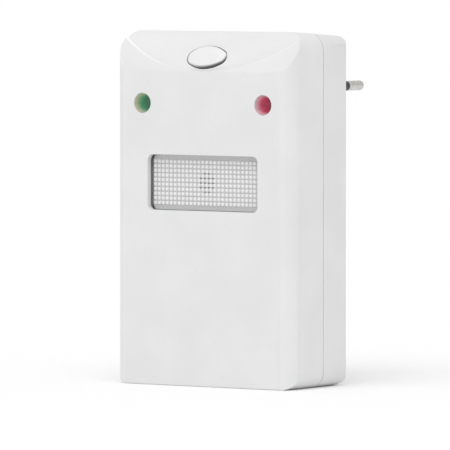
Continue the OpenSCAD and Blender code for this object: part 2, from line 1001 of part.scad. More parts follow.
module transducer_wires() {
    y = transducer_y + transducer_wire_at[1];
    z0 = transducer_z + disc_lift + 3 * disc_t;
    z1 = board_z0 + 6;
    color("firebrick")
        for (side = [-1, 1]) {
            x = side * transducer_wire_at[0];
            wire([[x, y, z0], [x, y, z1], [x, board_back_y, z1]], 0.5);
        }
}

// ---- Plug ----

module plug_body() {
    end_inner_y = plug_face_y - tower_end_t;
    color("white")
        difference() {
            union() {
                translate([0, pad_back_y, plug_z]) rotate([-90, 0, 0])
                    cylinder(r1 = tower_root_r, r2 = tower_tip_r, h = tower_l);
                rod_y(0, plug_z, tower_root_r, pad_inner_y - eps, pad_back_y + eps);
                translate([0, pad_inner_y - plug_flange[1] / 2, plug_z]) cube(plug_flange, center = true);
            }
            translate([0, pad_inner_y - plug_flange[1] - over, plug_z]) rotate([-90, 0, 0])
                cylinder(r1 = tower_root_r - tower_wall, r2 = tower_end_r - tower_wall,
                         h = end_inner_y - pad_inner_y + plug_flange[1] + over);
            for (x = pin_xs) {
                rod_y(x, plug_z, pin_core_r + pin_core_gap, end_inner_y - over, plug_face_y);
                rod_y(x, plug_z, sleeve_r + pin_core_gap, plug_face_y - sleeve_hold, plug_face_y + over);
            }
        }
}

module plug_pins() {
    bare_y = plug_face_y + pin_l - pin_bare_l;
    tip_y = plug_face_y + pin_l - pin_d / 2;
    color("silver")
        for (x = pin_xs) {
            rod_y(x, plug_z, pin_core_r, pin_head_y - pin_tail_l, bare_y + over);
            rod_y(x, plug_z, pin_head_r, pin_head_y, pin_head_y + pin_head_t);
            rod_y(x, plug_z, pin_d / 2, bare_y, tip_y);
            translate([x, tip_y, plug_z]) rotate([-90, 0, 0]) sphere(pin_d / 2);
        }
}

module pin_sleeves() {
    y0 = plug_face_y - sleeve_hold;
    y1 = plug_face_y + pin_l - pin_bare_l;
    color("black")
        for (x = pin_xs)
            difference() {
                rod_y(x, plug_z, sleeve_r, y0, y1);
                rod_y(x, plug_z, pin_core_r + sleeve_bore_gap, y0 - over, y1 + over);
            }
}

// The soldering rings on the pins' tails, each with a tab for its wire
module pin_terminals() {
    y0 = pin_head_y - terminal_t;
    color("gold")
        for (x = pin_xs)
            difference() {
                union() {
                    rod_y(x, plug_z, terminal_r, y0, pin_head_y);
                    block(x - terminal_tab[0], x + terminal_tab[0], y0, pin_head_y,
                          plug_z - terminal_tab[1], plug_z);
                }
                rod_y(x, plug_z, pin_core_r + terminal_bore_gap, y0 - over, pin_head_y + over);
            }
}

module mains_wires() {
    y1 = pin_head_y - terminal_t;
    z1 = plug_z - terminal_tab[1] + 1;
    color("steelblue")
        for (side = [-1, 1])
            wire([[side * pin_spacing / 2, y1, z1], [side * pin_spacing / 2, y1 - 6, z1],
                  [side * 7, 14, 110], [side * 6, 4, 109], [side * 6, board_back_y, 109]],
                 mains_wire_r);
}

front_shell();
back_cover();
case_screws();
rating_label();
button_cap();
switch_plunger();
switch_body();
switch_board();
switch_screws();
green_lens();
red_lens();
green_led();
red_led();
window_lens();
light_reflector();
reflector_screws();
night_light_leds();
light_sensor();
light_board();
board_link();
circuit_board();
board_screws();
transformer_core();
transformer_bobbin();
transformer_winding();
mains_capacitor();
smoothing_capacitor();
rectifier_diodes();
resistors();
control_chip();
driver_transistor();
mains_fuse();
transducer_gasket();
transducer_housing();
transducer_cone();
piezo_disc();
transducer_wires();
plug_body();
plug_pins();
pin_sleeves();
pin_terminals();
mains_wires();
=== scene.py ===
import json
import math

import bmesh
import bpy
from mathutils import Matrix, Vector

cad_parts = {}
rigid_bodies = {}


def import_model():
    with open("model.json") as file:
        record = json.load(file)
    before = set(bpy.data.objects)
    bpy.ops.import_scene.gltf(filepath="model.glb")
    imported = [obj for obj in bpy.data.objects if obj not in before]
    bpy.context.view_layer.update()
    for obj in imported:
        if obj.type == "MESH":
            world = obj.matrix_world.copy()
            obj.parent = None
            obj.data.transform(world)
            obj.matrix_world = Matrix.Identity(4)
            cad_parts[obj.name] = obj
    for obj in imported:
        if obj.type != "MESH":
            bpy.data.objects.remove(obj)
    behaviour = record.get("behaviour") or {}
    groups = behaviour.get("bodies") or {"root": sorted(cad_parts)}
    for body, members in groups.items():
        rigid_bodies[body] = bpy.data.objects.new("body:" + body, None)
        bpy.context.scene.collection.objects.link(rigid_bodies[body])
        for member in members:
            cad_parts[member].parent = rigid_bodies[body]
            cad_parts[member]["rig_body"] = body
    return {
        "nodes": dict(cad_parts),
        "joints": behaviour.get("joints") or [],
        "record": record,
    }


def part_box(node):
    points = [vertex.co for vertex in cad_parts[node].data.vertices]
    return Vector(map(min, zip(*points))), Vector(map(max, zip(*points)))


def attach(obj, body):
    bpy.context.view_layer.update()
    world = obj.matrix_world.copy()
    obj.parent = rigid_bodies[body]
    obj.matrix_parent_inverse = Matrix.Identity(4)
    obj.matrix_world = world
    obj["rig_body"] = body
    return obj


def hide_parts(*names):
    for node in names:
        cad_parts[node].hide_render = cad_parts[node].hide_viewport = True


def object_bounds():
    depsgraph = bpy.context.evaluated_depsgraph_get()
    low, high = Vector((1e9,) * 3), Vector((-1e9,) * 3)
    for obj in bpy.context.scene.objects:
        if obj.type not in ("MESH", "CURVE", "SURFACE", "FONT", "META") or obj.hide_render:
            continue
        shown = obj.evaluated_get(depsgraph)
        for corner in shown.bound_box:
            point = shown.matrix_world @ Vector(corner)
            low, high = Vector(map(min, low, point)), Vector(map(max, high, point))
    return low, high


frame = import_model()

cad_low, cad_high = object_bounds()
MM = 0.001


# ---- Camera, floor and light ----

def look_at(obj, target):
    obj.rotation_euler = (target - obj.location).to_track_quat("-Z", "Y").to_euler()


def add_camera():
    """The camera fitted to the photograph. It aims beside and above the middle of the front's foot."""
    aim_right = 8.96 * MM
    aim_up = 63.83 * MM
    azimuth = math.radians(33.68)
    elevation = math.radians(2.77)
    distance = 2.7015
    right = Vector((math.cos(azimuth), math.sin(azimuth), 0))
    away = Vector((math.sin(azimuth) * math.cos(elevation),
                   -math.cos(azimuth) * math.cos(elevation), math.sin(elevation)))
    front_low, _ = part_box("front_shell")
    target = Vector((0, front_low.y, 0)) + right * aim_right + Vector((0, 0, aim_up))
    data = bpy.data.cameras.new("camera")
    data.lens = 549.6
    data.sensor_width = 36
    camera = bpy.data.objects.new("camera", data)
    camera.location = target + away * distance
    bpy.context.scene.collection.objects.link(camera)
    look_at(camera, target)
    bpy.context.scene.camera = camera


def add_sun(name, source, strength, spread):
    """A soft, even light that comes from the direction source, spread degrees wide."""
    data = bpy.data.lights.new(name, "SUN")
    data.energy = strength * math.pi
    data.angle = math.radians(spread)
    light = bpy.data.objects.new(name, data)
    light.rotation_euler = (-Vector(source)).to_track_quat("-Z", "Y").to_euler()
    bpy.context.scene.collection.objects.link(light)


def add_floor():
    """White paper under the part. It reaches half metres each way."""
    mesh = bpy.data.meshes.new("floor")
    half = 80.0
    mesh.from_pydata([(-half, -half, 0), (half, -half, 0), (half, half, 0), (-half, half, 0)], [],
                     [(0, 1, 2, 3)])
    floor = bpy.data.objects.new("floor", mesh)
    floor.location.z = cad_low.z
    bpy.context.scene.collection.objects.link(floor)
    material = bpy.data.materials.new("floor_paper")
    material.use_nodes = True
    shader = material.node_tree.nodes["Principled BSDF"]
    shader.inputs["Base Color"].default_value = (0.95, 0.95, 0.95, 1)
    shader.inputs["Roughness"].default_value = 0.9
    mesh.materials.append(material)


def add_world(strength):
    world = bpy.data.worlds.new("world")
    world.use_nodes = True
    background = world.node_tree.nodes["Background"]
    background.inputs["Color"].default_value = (1, 1, 1, 1)
    background.inputs["Strength"].default_value = strength
    bpy.context.scene.world = world


def add_studio():
    add_floor()
    add_world(strength=0.80)
    add_sun("key", source=(0.12, -0.45, 0.88), strength=0.30, spread=50)
    bpy.context.scene.view_settings.view_transform = "Standard"


# ---- Materials ----

class Nodes:
    """The node tree of one new material, with its Principled shader."""

    def __init__(self, name):
        self.material = bpy.data.materials.new(name)
        self.material.use_nodes = True
        self.tree = self.material.node_tree
        self.shader = self.tree.nodes["Principled BSDF"]
        coordinates = self.tree.nodes.new("ShaderNodeTexCoord")
        self.place = coordinates.outputs["Object"]

    def link(self, start, end):
        self.tree.links.new(start, end)

    def add(self, kind, **settings):
        node = self.tree.nodes.new("ShaderNode" + kind)
        for key, value in settings.items():
            setattr(node, key, value)
        return node

    def noise(self, size, detail):
        """A noise whose features are about size metres across."""
        noise = self.add("TexNoise")
        noise.inputs["Scale"].default_value = 1 / size
        noise.inputs["Detail"].default_value = detail
        self.link(self.place, noise.inputs["Vector"])
        return noise.outputs["Fac"]

    def spots(self, spacing, radius):
        """1 in small round spots that turn up in some of the cells, spacing metres apart, else 0."""
        cells = self.add("TexVoronoi")
        cells.inputs["Scale"].default_value = 1 / spacing
        self.link(self.place, cells.inputs["Vector"])
        shade = self.add("SeparateColor")
        self.link(cells.outputs["Color"], shade.inputs["Color"])
        size = self.ranged(shade.outputs["Red"], 0.55, 1.0, 0.0, radius / spacing)
        spot = self.add("Math", operation="LESS_THAN")
        self.link(cells.outputs["Distance"], spot.inputs[0])
        self.link(size, spot.inputs[1])
        return spot.outputs["Value"]

    def ranged(self, value, from_low, from_high, to_low, to_high):
        node = self.add("MapRange")
        self.link(value, node.inputs["Value"])
        node.inputs["From Min"].default_value = from_low
        node.inputs["From Max"].default_value = from_high
        node.inputs["To Min"].default_value = to_low
        node.inputs["To Max"].default_value = to_high
        return node.outputs["Result"]

    def mix(self, factor, first, second):
        """Blends two colours, each an (r, g, b) or a socket, by a factor socket."""
        node = self.add("Mix", data_type="RGBA")
        self.link(factor, node.inputs["Factor"])
        for socket, colour in ((node.inputs[6], first), (node.inputs[7], second)):
            if isinstance(colour, tuple):
                socket.default_value = (*colour, 1)
            else:
                self.link(colour, socket)
        return node.outputs[2]

    def bump(self, heights):
        """Chains (height socket, depth in metres) pairs into the shader's normal."""
        normal = None
        for height, depth in heights:
            node = self.add("Bump")
            node.inputs["Strength"].default_value = 1
            node.inputs["Distance"].default_value = depth
            self.link(height, node.inputs["Height"])
            if normal is not None:
                self.link(normal, node.inputs["Normal"])
            normal = node.outputs["Normal"]
        self.link(normal, self.shader.inputs["Normal"])


def scaled(colour, factor):
    return tuple(min(1.0, c * factor) for c in colour)


def moulded_plastic(name, colour, roughness=0.42, depth=0.012 * MM, spread=0.02, painted_highlight=None):
    """Injection-moulded plastic: spark-eroded grain, faint flow marks, handling shine and dust specks.
    Its last argument, if given, is a brighter colour painted on the crease faces, where their
    attribute is 1. It is a painted highlight, and doesn't come from the light or from a polish."""
    grain = 0.28 * MM
    specks = 0.5
    m = Nodes(name)
    clouds = m.noise(22 * MM, 2)
    tone = m.mix(m.ranged(clouds, 0.35, 0.65, 0, 1),
                 scaled(colour, 1 - spread), scaled(colour, 1 + spread))
    dusty = m.mix(m.ranged(m.noise(1.6 * MM, 2), 0.6, 0.75, 0, 0.25), tone, scaled(colour, 0.9))
    flecked = m.mix(m.ranged(m.spots(6 * MM, 0.22 * MM), 0, 1, 0, specks), dusty, scaled(colour, 0.62))
    # The painted highlight: a brighter colour laid on the crease faces
    if painted_highlight:
        highlight_mask = m.add("Attribute", attribute_name="highlight_mask")
        flecked = m.mix(highlight_mask.outputs["Fac"], flecked, painted_highlight)
    m.link(flecked, m.shader.inputs["Base Color"])
    rubbed = m.ranged(m.noise(9 * MM, 3), 0.3, 0.7, roughness - 0.05, roughness + 0.07)
    m.link(rubbed, m.shader.inputs["Roughness"])
    m.bump([(m.noise(14 * MM, 1), 0.02 * MM), (m.noise(grain, 2), depth)])
    return m.material


def prism_plastic(name, valley, crown):
    """Cloudy plastic, a tenth clear. Its bright crowns, grey grooves, grey flat margin and dark
    corners are coloured in.
    They are painted light and shade, standing for what real prisms do with the light."""
    roughness = 0.22
    m = Nodes(name)
    height = m.add("Attribute", attribute_name="prism")
    shade = m.add("Attribute", attribute_name="shade")
    haze = m.mix(m.ranged(m.noise(4 * MM, 2), 0.3, 0.7, 0, 1), scaled(crown, 0.96), crown)
    clear = m.mix(m.ranged(height.outputs["Fac"], 0.1, 0.85, 0, 1), valley, haze)
    m.link(m.mix(shade.outputs["Fac"], clear, (0.02, 0.02, 0.02)), m.shader.inputs["Base Color"])
    m.link(m.ranged(m.noise(0.6 * MM, 2), 0.3, 0.7, roughness * 0.7, roughness * 1.4),
           m.shader.inputs["Roughness"])
    m.shader.inputs["Transmission Weight"].default_value = 0.1
    m.shader.inputs["IOR"].default_value = 1.49
    m.bump([(m.noise(0.5 * MM, 1), 0.004 * MM)])
    return m.material


def tinted_lens(name, colour):
    """Glossy coloured plastic, a little cloudy."""
    roughness = 0.16
    m = Nodes(name)
    cloud = m.ranged(m.noise(1.5 * MM, 2), 0.3, 0.7, 0, 1)
    m.link(m.mix(cloud, scaled(colour, 0.8), scaled(colour, 1.15)), m.shader.inputs["Base Color"])
    m.link(m.ranged(m.noise(1.2 * MM, 2), 0.3, 0.7, roughness, roughness + 0.08),
           m.shader.inputs["Roughness"])
    m.shader.inputs["Coat Weight"].default_value = 0.4
    m.shader.inputs["Coat Roughness"].default_value = 0.1
    m.bump([(m.noise(0.8 * MM, 1), 0.004 * MM)])
    return m.material


def indicator_cup(name, rim, middle, floor):
    """The plastic of a cup that lines an indicator hole: pale at its rim, darkest at its floor, where
    the dark is painted shade.
    """
    m = Nodes(name)
    place = m.add("SeparateXYZ")
    m.link(m.place, place.inputs["Vector"])
    ripple = m.add("Math", operation="MULTIPLY_ADD")
    m.link(m.noise(1.2 * MM, 2), ripple.inputs[0])
    ripple_height = ripple.inputs[1]
    ripple_height.default_value = 0.8 * MM
    m.link(place.outputs["Y"], ripple.inputs[2])
    depth = ripple.outputs["Value"]
    upper = m.mix(m.ranged(depth, CUP_RIM_Y, CUP_MIDDLE_Y, 0, 1), rim, middle)
    m.link(m.mix(m.ranged(depth, CUP_MIDDLE_Y, CUP_FLOOR_Y, 0, 1), upper, floor),
           m.shader.inputs["Base Color"])
    m.link(m.ranged(m.noise(1.2 * MM, 2), 0.3, 0.7, 0.28, 0.4), m.shader.inputs["Roughness"])
    m.bump([(m.noise(0.8 * MM, 1), 0.006 * MM)])
    return m.material


def button_plastic(name, colour, shadow_colour, low_side):
    """Smooth moulded plastic, painted dark on the wall that faces the low side. The dark stands for
    the shade there, and doesn't come from the light."""
    m = Nodes(name)
    clouds = m.mix(m.ranged(m.noise(8 * MM, 2), 0.35, 0.65, 0, 1), scaled(colour, 0.985), colour)
    geometry = m.add("NewGeometry")
    facing = m.add("VectorMath", operation="DOT_PRODUCT")
    m.link(geometry.outputs["Normal"], facing.inputs[0])
    facing.inputs[1].default_value = low_side
    shadow = m.ranged(facing.outputs["Value"], 0.12, 0.7, 0, 1)
    m.link(m.mix(shadow, clouds, shadow_colour), m.shader.inputs["Base Color"])
    m.link(m.ranged(m.noise(5 * MM, 3), 0.3, 0.7, 0.24, 0.38), m.shader.inputs["Roughness"])
    m.bump([(m.noise(10 * MM, 1), 0.01 * MM), (m.noise(0.3 * MM, 2), 0.004 * MM)])
    return m.material


def worn_metal(name, colour, dull, roughness=0.26, line=0.12 * MM):
    """Plated metal with faint tarnish, dull rubs and a fine unevenness about line across."""
    m = Nodes(name)
    tarnish = m.ranged(m.noise(2.2 * MM, 4), 0.42, 0.7, 0, 0.7)
    m.link(m.mix(tarnish, colour, dull), m.shader.inputs["Base Color"])
    m.link(m.ranged(m.noise(0.9 * MM, 4), 0.3, 0.7, roughness - 0.06, roughness + 0.14),
           m.shader.inputs["Roughness"])
    m.shader.inputs["Metallic"].default_value = 1.0
    m.bump([(m.noise(line, 2), 0.003 * MM)])
    return m.material


def soft_rubber(name, colour, roughness):
    """Dark rubber or soft plastic with a faint pale bloom."""
    m = Nodes(name)
    bloom = m.ranged(m.noise(3 * MM, 3), 0.45, 0.75, 0, 0.5)
    m.link(m.mix(bloom, colour, tuple(c + 0.03 for c in colour)), m.shader.inputs["Base Color"])
    m.link(m.ranged(m.noise(1.5 * MM, 2), 0.3, 0.7, roughness - 0.06, roughness + 0.1),
           m.shader.inputs["Roughness"])
    m.bump([(m.noise(0.2 * MM, 2), 0.01 * MM)])
    return m.material


def laminate(name, mask, copper):
    """Solder mask over glass weave, with a pattern of paler lines for the tracks."""
    m = Nodes(name)
    bricks = m.add("TexBrick")
    bricks.inputs["Scale"].default_value = 1 / (6 * MM)
    bricks.inputs["Mortar Size"].default_value = 0.06
    mapping = m.add("Mapping")
    mapping.inputs["Rotation"].default_value = (math.pi / 2, 0, 0)
    m.link(m.place, mapping.inputs["Vector"])
    m.link(mapping.outputs["Vector"], bricks.inputs["Vector"])
    weave = m.mix(m.ranged(m.noise(0.7 * MM, 2), 0.3, 0.7, 0, 1), mask, scaled(mask, 1.25))
    m.link(m.mix(bricks.outputs["Fac"], weave, copper), m.shader.inputs["Base Color"])
    m.link(m.ranged(m.noise(5 * MM, 2), 0.3, 0.7, 0.3, 0.42), m.shader.inputs["Roughness"])
    m.bump([(bricks.outputs["Fac"], 0.03 * MM), (m.noise(0.5 * MM, 1), 0.01 * MM)])
    return m.material


def ringed(name, colour, dark, pitch, axis, metallic):
    """Fine parallel turns, such as enamelled wire, laid along one axis."""
    roughness = 0.35
    m = Nodes(name)
    turns = m.add("TexWave", wave_type="BANDS", bands_direction=axis)
    turns.inputs["Scale"].default_value = 0.5 / pitch
    turns.inputs["Distortion"].default_value = 0.4
    m.link(m.place, turns.inputs["Vector"])
    m.link(m.mix(turns.outputs["Fac"], dark, colour), m.shader.inputs["Base Color"])
    m.link(m.ranged(m.noise(2 * MM, 2), 0.3, 0.7, roughness - 0.05, roughness + 0.1),
           m.shader.inputs["Roughness"])
    m.shader.inputs["Metallic"].default_value = metallic
    m.bump([(turns.outputs["Fac"], pitch / 4)])
    return m.material


# Depths behind the front face: the indicator cups' edge, the end of their pale rim, the middle of
# their colour, and their floor
CUP_EDGE_Y = cad_low.y + 0.7 * MM
CUP_RIM_Y = cad_low.y + 2.0 * MM
CUP_MIDDLE_Y = cad_low.y + 3.7 * MM
CUP_FLOOR_Y = cad_low.y + 4.8 * MM

# The push button slides in against BUTTON_OUT, which is square to the sloping panel. BUTTON_UP runs
# up the panel. BUTTON_LOW_SIDE points down the panel and to the right: its wall there is painted dark
# as painted shade.
BUTTON_OUT = -Vector(frame["joints"][0]["axis"])
BUTTON_UP = BUTTON_OUT.cross(Vector((1, 0, 0)))
BUTTON_LOW_SIDE = Vector((0.6, 0, 0)) - 0.8 * BUTTON_UP

# The material of each slot in the record
MATERIALS = {
    # The shell's brighter second colour is a painted highlight on the sloping panel's crease
    "white_shell": moulded_plastic("white_shell", (0.76, 0.76, 0.765), painted_highlight=(0.87, 0.87, 0.87)),
    "white_cover": moulded_plastic("white_cover", (0.75, 0.75, 0.755)),
    "white_plug": moulded_plastic("white_plug", (0.75, 0.75, 0.75), roughness=0.5),
    "white_button": button_plastic("white_button", (0.80, 0.80, 0.80), (0.08, 0.08, 0.08),
                                   BUTTON_LOW_SIDE),
    "zinc_steel": worn_metal("zinc_steel", (0.62, 0.63, 0.66), (0.36, 0.36, 0.35)),
    "label_film": moulded_plastic("label_film", (0.62, 0.63, 0.64), roughness=0.3, depth=0.003 * MM),
    "black_plastic": soft_rubber("black_plastic", (0.022, 0.022, 0.024), 0.42),
    "circuit_laminate": laminate("circuit_laminate", (0.02, 0.13, 0.06), (0.05, 0.24, 0.11)),
    "green_lens": indicator_cup("green_lens", (0.66, 0.62, 0.48), (0.13, 0.42, 0.21),
                                (0.045, 0.23, 0.13)),
    "red_lens": indicator_cup("red_lens", (0.74, 0.56, 0.60), (0.64, 0.09, 0.18), (0.46, 0.035, 0.09)),
    "green_lamp": tinted_lens("green_lamp", (0.08, 0.45, 0.16)),
    "red_lamp": tinted_lens("red_lamp", (0.60, 0.04, 0.04)),
    "clear_lens": prism_plastic("clear_lens", (0.60, 0.60, 0.60), (0.97, 0.97, 0.97)),
    "reflector_white": moulded_plastic("reflector_white", (0.85, 0.85, 0.85), roughness=0.35),
    "clear_lamp": tinted_lens("clear_lamp", (0.72, 0.72, 0.66)),
    "sensor_dark": tinted_lens("sensor_dark", (0.03, 0.028, 0.03)),
    "ferrite": soft_rubber("ferrite", (0.04, 0.04, 0.045), 0.62),
    "copper_wire": ringed("copper_wire", (0.55, 0.20, 0.07), (0.16, 0.05, 0.02), 0.25 * MM, "Z", 0.7),
    "yellow_case": moulded_plastic("yellow_case", (0.72, 0.47, 0.07), roughness=0.34),
    "blue_sleeve": moulded_plastic("blue_sleeve", (0.03, 0.06, 0.25), roughness=0.3, spread=0.06),
    "tan_lacquer": moulded_plastic("tan_lacquer", (0.52, 0.36, 0.20), roughness=0.36, spread=0.08),
    "black_rubber": soft_rubber("black_rubber", (0.02, 0.02, 0.02), 0.68),
    "aluminium_foil": worn_metal("aluminium_foil", (0.80, 0.80, 0.82), (0.55, 0.55, 0.56), 0.34),
    "brass": worn_metal("brass", (0.72, 0.52, 0.22), (0.42, 0.29, 0.12)),
    "wire_sheath": soft_rubber("wire_sheath", (0.08, 0.16, 0.34), 0.45),
    "nickel_pins": worn_metal("nickel_pins", (0.62, 0.61, 0.59), (0.52, 0.50, 0.47), 0.28,
                              line=1.4 * MM),
    "sleeve_black": soft_rubber("sleeve_black", (0.03, 0.03, 0.032), 0.4),
}

SLOT_OF = {part["node"]: part["material_slot"] for part in frame["record"]["subparts"]}


# ---- Pieces ----

def body_of(node):
    return frame["nodes"][node]["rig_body"]


def new_piece(name, mesh, node):
    """Puts a mesh in the scene as the piece that stands for a CAD node."""
    piece = bpy.data.objects.new(name, mesh)
    bpy.context.scene.collection.objects.link(piece)
    mesh.materials.clear()
    mesh.materials.append(MATERIALS[SLOT_OF[node]])
    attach(piece, body_of(node))
    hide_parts(node)
    return piece


# The angle, in degrees, above which an edge stays sharp on the case, on the cups and the button,
# and on the window lens
CASE_CREASE = 35
ROUND_CREASE = 50
LENS_CREASE = 40


def smooth_with_creases(mesh, angle):
    mesh.shade_smooth()
    mesh.set_sharp_from_angle(angle=math.radians(angle))


# A face is on the curved crease where the cosine of its tilt from the sloping panel is between these
# two, and its inward lean times its distance from the middle is above CREASE_INWARD
CREASE_TILT_LOW = 0.7
CREASE_TILT_HIGH = 0.93
CREASE_INWARD = 1.5 * MM


def is_crease(face):
    """1 for the faces of the sloping panel's curved crease, which lean in over it, else 0. These faces
    get a painted highlight.
    """
    tilt = face.normal.dot(BUTTON_OUT)
    inward = -face.normal.x * face.calc_center_median().x
    return float(CREASE_TILT_LOW < tilt < CREASE_TILT_HIGH and inward > CREASE_INWARD)


# Before the edges are rounded, points closer than WELD become one, and faces that meet at less than
# FLAT_ANGLE degrees become one
WELD = 0.002 * MM
FLAT_ANGLE = 0.6
ROUNDING_SEGMENTS = 2


def rounded_copy(node, width):
    """A copy of a CAD node's mesh with its sharp edges rounded off, as a mould leaves them."""
    mesh = frame["nodes"][node].data.copy()
    work = bmesh.new()
    work.from_mesh(mesh)
    bmesh.ops.remove_doubles(work, verts=work.verts, dist=WELD)
    bmesh.ops.dissolve_limit(work, angle_limit=math.radians(FLAT_ANGLE), verts=work.verts,
                             edges=work.edges)
    # Marks the crease faces, where the shell's material paints a highlight
    highlight_mask = work.faces.layers.float.new("highlight_mask")
    for face in work.faces:
        face[highlight_mask] = is_crease(face)
    work.to_mesh(mesh)
    work.free()
    if "custom_normal" in mesh.attributes:
        mesh.attributes.remove(mesh.attributes["custom_normal"])
    smooth_with_creases(mesh, CASE_CREASE)
    piece = new_piece(node + "_rounded", mesh, node)
    bevel = piece.modifiers.new("rounding", "BEVEL")
    bevel.width = width
    bevel.segments = ROUNDING_SEGMENTS
    bevel.limit_method = "ANGLE"
    bevel.angle_limit = math.radians(CASE_CREASE)
    bevel.miter_outer = "MITER_ARC"
    bevel.harden_normals = True


# ---- The indicator lenses: cups that line their holes ----

CUP_OUTER_R = 3.9 * MM
CUP_BOWL_R = 3.75 * MM
CUP_FLANGE = 1.0 * MM
CUP_BOWL_STEPS = 14
TURN_STEPS = 48


def bridge(work, first, second):
    """Joins two rings of as many vertices with a band of faces."""
    for i in range(len(first)):
        j = (i + 1) % len(first)
        work.faces.new((first[i], first[j], second[j], second[i]))


def turned(name, profile, centre):
    """A closed solid turned from (radius, y) points about an axis along Y.
    The first and last points lie on the axis."""
    work = bmesh.new()
    rings = []
    for radius, y in profile[1:-1]:
        ring = []
        for i in range(TURN_STEPS):
            turn = 2 * math.pi * i / TURN_STEPS
            ring.append(work.verts.new((centre.x + radius * math.cos(turn), y,
                                        centre.z + radius * math.sin(turn))))
        rings.append(ring)
    for first, second in zip(rings, rings[1:]):
        bridge(work, first, second)
    for ring, (_, y) in ((rings[0], profile[0]), (rings[-1], profile[-1])):
        tip = work.verts.new((centre.x, y, centre.z))
        for i in range(TURN_STEPS):
            work.faces.new((ring[i], ring[(i + 1) % TURN_STEPS], tip))
    bmesh.ops.recalc_face_normals(work, faces=work.faces)
    mesh = bpy.data.meshes.new(name)
    work.to_mesh(mesh)
    work.free()
    smooth_with_creases(mesh, ROUND_CREASE)
    return mesh


def add_indicator_lens(node):
    """A cup that lines its hole, with the flange that holds it behind the shell's collar."""
    low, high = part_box(node)
    centre = (low + high) / 2
    flange_r = high.x - centre.x
    flange_y = high.y - CUP_FLANGE
    turns = [math.pi / 2 * i / CUP_BOWL_STEPS for i in range(CUP_BOWL_STEPS + 1)]
    bowl_depth = CUP_FLOOR_Y - CUP_EDGE_Y
    bowl = [(CUP_BOWL_R * math.sin(turn), CUP_EDGE_Y + bowl_depth * math.cos(turn)) for turn in turns]
    profile = bowl + [(CUP_OUTER_R, CUP_EDGE_Y), (CUP_OUTER_R, flange_y), (flange_r, flange_y),
                      (flange_r, high.y), (0, high.y)]
    new_piece(node + "_cup", turned(node + "_cup", profile, centre), node)


# ---- The push button: an oval dome with a rounded edge, over the flange that keeps it in ----

# The oval's half length, half width and end radius, and the flange's lap and thickness
BUTTON_OVAL = (9.1 * MM, 5.0 * MM, 3.2 * MM)
BUTTON_DOME_R = 40 * MM
BUTTON_EDGE_R = 1.2 * MM
BUTTON_FLANGE = (0.7 * MM, 1.0 * MM)

# The dome's rings, as fractions of the oval, and the steps round each arc and over the rounded edge
DOME_RINGS = (0.1, 0.25, 0.4, 0.55, 0.7, 0.85, 1)
ARC_STEPS = 24
EDGE_STEPS = 8


def oval_ring(inset):
    """Points round the four-arc oval of BUTTON_OVAL, moved inwards by inset."""
    a, b, end_r = BUTTON_OVAL
    side_r = ((a - end_r) ** 2 + b * b - end_r ** 2) / (2 * (b - end_r))
    lean = math.atan2(side_r - b, a - end_r)
    arcs = ((a - end_r, 0, end_r, -lean, lean), (0, b - side_r, side_r, lean, math.pi - lean),
            (end_r - a, 0, end_r, math.pi - lean, math.pi + lean),
            (0, side_r - b, side_r, math.pi + lean, 2 * math.pi - lean))
    points = []
    for x, y, radius, start, end in arcs:
        for i in range(ARC_STEPS):
            turn = start + (end - start) * i / ARC_STEPS
            points.append((x + (radius - inset) * math.cos(turn),
                           y + (radius - inset) * math.sin(turn)))
    return points


def dome_drop(x, y):
    """How far the dome lies below its middle at x, y."""
    return BUTTON_DOME_R - math.sqrt(BUTTON_DOME_R ** 2 - x * x - y * y)


def add_button():
    """The button's cap: the dome, its rounded edge, its wall and the flange behind the panel."""
    up = BUTTON_UP
    corners = [v.co for v in frame["nodes"]["button_cap"].data.vertices]
    heights = [BUTTON_OUT.dot(v) for v in corners]
    along = [up.dot(v) for v in corners]
    top = max(heights)
    base = min(heights) - top
    origin = BUTTON_OUT * top + up * (max(along) + min(along)) / 2
    work = bmesh.new()

    def ring(points):
        return [work.verts.new(origin + Vector((x, 0, 0)) + up * y + BUTTON_OUT * z)
                for x, y, z in points]

    lap, thick = BUTTON_FLANGE
    inner = oval_ring(BUTTON_EDGE_R)
    rings = [ring((x * t, y * t, -dome_drop(x * t, y * t)) for x, y in inner)
             for t in DOME_RINGS]
    for i in range(1, EDGE_STEPS + 1):
        turn = math.pi / 2 * i / EDGE_STEPS
        outline = oval_ring(BUTTON_EDGE_R * (1 - math.sin(turn)))
        rings.append(ring((x, y, -dome_drop(*rim) - BUTTON_EDGE_R * (1 - math.cos(turn)))
                          for (x, y), rim in zip(outline, inner)))
    rings.append(ring((x, y, base + thick) for x, y in oval_ring(0)))
    rings.append(ring((x, y, base + thick) for x, y in oval_ring(-lap)))
    rings.append(ring((x, y, base) for x, y in oval_ring(-lap)))
    for first, second in zip(rings, rings[1:]):
        bridge(work, first, second)
    work.faces.new(rings[0])
    work.faces.new(rings[-1])
    bmesh.ops.recalc_face_normals(work, faces=work.faces)
    mesh = bpy.data.meshes.new("button_dome")
    work.to_mesh(mesh)
    work.free()
    smooth_with_creases(mesh, ROUND_CREASE)
    new_piece("button_dome", mesh, "button_cap")


# ---- The night light's lens: rows of pillow prisms in a flat margin ----

PRISM_COLUMNS = 27
PRISM_ROWS = 10
PRISM_PITCH = (1.88 * MM, 1.83 * MM)
PRISM_HEIGHT = 0.55 * MM
PRISM_STEPS = 8
PILLOW_POWER = 2.2

# The flange above and below the lens's plate, the flange's thickness, and the corner radius
LENS_FLANGE = 2.7 * MM
LENS_FLANGE_THICK = 1.2 * MM
LENS_CORNER_R = 2.4 * MM
LENS_CORNER_STEPS = 6

# The painted dark at the prisms' corners: how far round the sensor it fades, how dark it is down
# the last column, and the product abs(u * v) at which a corner starts and the span to its full dark
SHADE_REACH = 1.2 * MM
LAST_COLUMN_SHADE = 0.45
CORNER_START = 0.45
CORNER_SPAN = 0.35


def pillow(u, v):
    """The height of one prism at u, v from -1 to 1: a dome with a groove all round it."""
    return (1 - abs(u) ** PILLOW_POWER) * (1 - abs(v) ** PILLOW_POWER)


